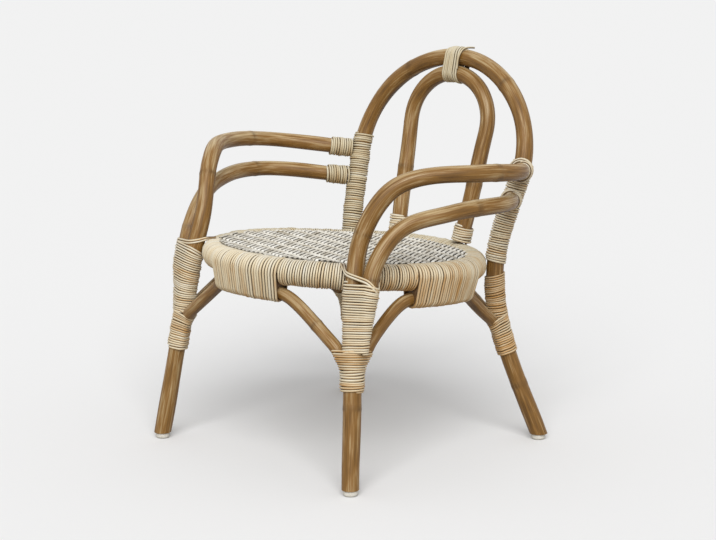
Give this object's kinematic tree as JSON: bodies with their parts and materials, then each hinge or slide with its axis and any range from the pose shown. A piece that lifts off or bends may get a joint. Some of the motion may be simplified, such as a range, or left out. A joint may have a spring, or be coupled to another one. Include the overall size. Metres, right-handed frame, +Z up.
{
  "type": "child rattan chair",
  "caption": "Small armchair of bent rattan poles with a round woven cane seat, an arched back with an inner hoop, bowed arms, arched braces and splayed legs bound with cane.",
  "frame": {"origin": "on the floor, under the middle of the chair's bounding box", "axes": "+Z up, the chair faces -Y, +X to the right of someone who looks at its front"},
  "size_m": [0.523, 0.4502, 0.5457],
  "materials": {
    "pole_rattan": "oiled rattan pole, golden brown, with long grain and nodes",
    "binding_cane": "matte peeled cane, straw coloured",
    "woven_cane": "matte cane in a twill weave, grey beige",
    "glide_plastic": "matte, off white"
  },
  "bodies": {
    "root": {"seat_ring_pole": "pole_rattan", "seat_panel": "woven_cane", "front_rim_wrap": "binding_cane", "right_rim_wrap": "binding_cane", "back_rim_wrap": "binding_cane", "left_rim_wrap": "binding_cane", "front_brace_pole": "pole_rattan", "right_brace_pole": "pole_rattan", "back_brace_pole": "pole_rattan", "left_brace_pole": "pole_rattan", "front_brace_wrap": "binding_cane", "right_brace_wrap": "binding_cane", "back_brace_wrap": "binding_cane", "left_brace_wrap": "binding_cane", "back_hoop_pole": "pole_rattan", "inner_hoop_pole": "pole_rattan", "left_inner_hoop_wrap": "binding_cane", "right_inner_hoop_wrap": "binding_cane", "left_arm_pole": "pole_rattan", "right_arm_pole": "pole_rattan", "left_lower_arm_pole": "pole_rattan", "right_lower_arm_pole": "pole_rattan", "front_right_leg_wrap": "binding_cane", "front_left_leg_wrap": "binding_cane", "back_right_leg_wrap": "binding_cane", "back_left_leg_wrap": "binding_cane", "front_right_joint_wrap": "binding_cane", "front_left_joint_wrap": "binding_cane", "back_right_joint_wrap": "binding_cane", "back_left_joint_wrap": "binding_cane", "left_upright_wrap": "binding_cane", "right_upright_wrap": "binding_cane", "left_arm_end_wrap": "binding_cane", "right_arm_end_wrap": "binding_cane", "left_lower_arm_end_wrap": "binding_cane", "right_lower_arm_end_wrap": "binding_cane", "top_binding": "binding_cane", "front_right_glide": "glide_plastic", "front_left_glide": "glide_plastic", "back_right_glide": "glide_plastic", "back_left_glide": "glide_plastic"}
  },
  "joints": []
}
